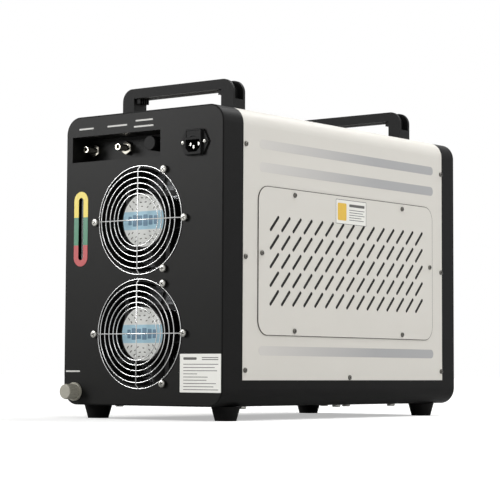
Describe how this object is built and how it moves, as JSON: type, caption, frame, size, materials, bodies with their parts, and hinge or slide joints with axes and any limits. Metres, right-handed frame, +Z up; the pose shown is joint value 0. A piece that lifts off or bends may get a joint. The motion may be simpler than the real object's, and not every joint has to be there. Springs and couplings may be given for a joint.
{
  "type": "recirculating chiller",
  "caption": "Portable compressor water chiller: painted steel case on four feet, two handles, rear fans, hose connections, tank and cooling circuit inside.",
  "frame": {"origin": "on the floor under the middle of the overall box, between the four feet", "axes": "+Z up, -Y towards the rear connection side with the two fans, +Y towards the control side, +X towards the side with the mains inlet"},
  "size_m": [0.2918, 0.6034, 0.47],
  "materials": {
    "black_steel": "matte fine-texture powder coat",
    "white_steel": "satin powder coat",
    "black_plastic": "fine moulded texture",
    "white_plastic": "natural polyethylene",
    "grey_plastic": "satin moulded",
    "printed_film": "printed polyester film",
    "foam": "open-cell filter foam",
    "black_rubber": "moulded",
    "zinc_screws": "bright zinc plated",
    "chromed_wire": "bright chromed wire",
    "plated_brass": "nickel plated",
    "clear_glass": "clear",
    "aluminium_fins": "mill finish fins",
    "stainless_steel": "brazed plates",
    "black_shell": "semi-gloss paint",
    "cast_body": "cast",
    "fan_aluminium": "black painted die casting",
    "plain_steel": "galvanised sheet",
    "hose_pvc": "smooth extruded hose",
    "copper": "drawn copper"
  },
  "bodies": {
    "case": {"chassis": "black_steel", "rear_panel": "black_steel", "front_panel": "black_steel", "connection_recess": "black_steel", "cover": "white_steel", "right_filter_panel": "white_steel", "left_filter_panel": "white_steel", "rear_handle": "black_plastic", "front_handle": "black_plastic", "power_inlet": "black_plastic", "controller": "black_plastic", "switch_housing": "black_plastic", "fill_neck": "white_plastic", "water_tank": "white_plastic", "tank_lid": "white_plastic", "sight_tube_clips": "white_plastic", "drain_spout": "grey_plastic", "control_box": "grey_plastic", "level_scale": "printed_film", "right_dust_filter": "foam", "left_dust_filter": "foam", "rear_left_foot": "black_rubber", "rear_right_foot": "black_rubber", "front_left_foot": "black_rubber", "front_right_foot": "black_rubber", "compressor_mounts": "black_rubber", "handle_screws": "zinc_screws", "foot_screws": "zinc_screws", "cover_screws": "zinc_screws", "filter_panel_screws": "zinc_screws", "fan_screws": "zinc_screws", "power_inlet_screws": "zinc_screws", "base_screws": "zinc_screws", "power_inlet_pins": "zinc_screws", "upper_fan_guard": "chromed_wire", "lower_fan_guard": "chromed_wire", "water_inlet_fitting": "plated_brass", "water_outlet_fitting": "plated_brass", "fitting_nuts": "plated_brass", "alarm_socket": "plated_brass", "sight_tube": "clear_glass", "condenser": "aluminium_fins", "evaporator": "stainless_steel", "compressor": "black_shell", "pump": "cast_body", "upper_fan_frame": "fan_aluminium", "lower_fan_frame": "fan_aluminium", "tank_shelf": "plain_steel", "water_hoses": "hose_pvc", "refrigerant_pipes": "copper", "filter_drier": "copper"},
    "upper_impeller": {"upper_fan_impeller": "black_plastic"},
    "lower_impeller": {"lower_fan_impeller": "black_plastic"},
    "drain_plug": {"drain_cap": "grey_plastic"},
    "filler_cap": {"fill_cap": "black_plastic"},
    "alarm_plug": {"alarm_cap": "black_plastic"},
    "fuse_tray": {"fuse_drawer": "black_plastic", "fuse": "clear_glass"},
    "rocker": {"switch_rocker": "black_plastic"}
  },
  "joints": [
    {"name": "upper_fan_spin", "type": "hinge", "parent": "case", "child": "upper_impeller", "pos_m": [-0.0032, -0.2507, 0.273], "axis": [0, 1, 0], "continuous": true},
    {"name": "lower_fan_spin", "type": "hinge", "parent": "case", "child": "lower_impeller", "pos_m": [-0.0032, -0.2507, 0.117], "axis": [0, 1, 0], "continuous": true},
    {"name": "drain_cap_off", "type": "slide", "parent": "case", "child": "drain_plug", "axis": [0, -1, 0], "range_m": [0, 0.03]},
    {"name": "fill_cap_off", "type": "slide", "parent": "case", "child": "filler_cap", "axis": [0, 0, 1], "range_m": [0, 0.04]},
    {"name": "alarm_cap_off", "type": "slide", "parent": "case", "child": "alarm_plug", "axis": [0, -1, 0], "range_m": [0, 0.045]},
    {"name": "fuse_drawer_slide", "type": "slide", "parent": "case", "child": "fuse_tray", "axis": [0, -1, 0], "range_m": [0, 0.018]},
    {"name": "power_rocker", "type": "hinge", "parent": "case", "child": "rocker", "pos_m": [0.084, 0.2943, 0.356], "axis": [1, 0, 0], "range_deg": [-18, 0]}
  ]
}
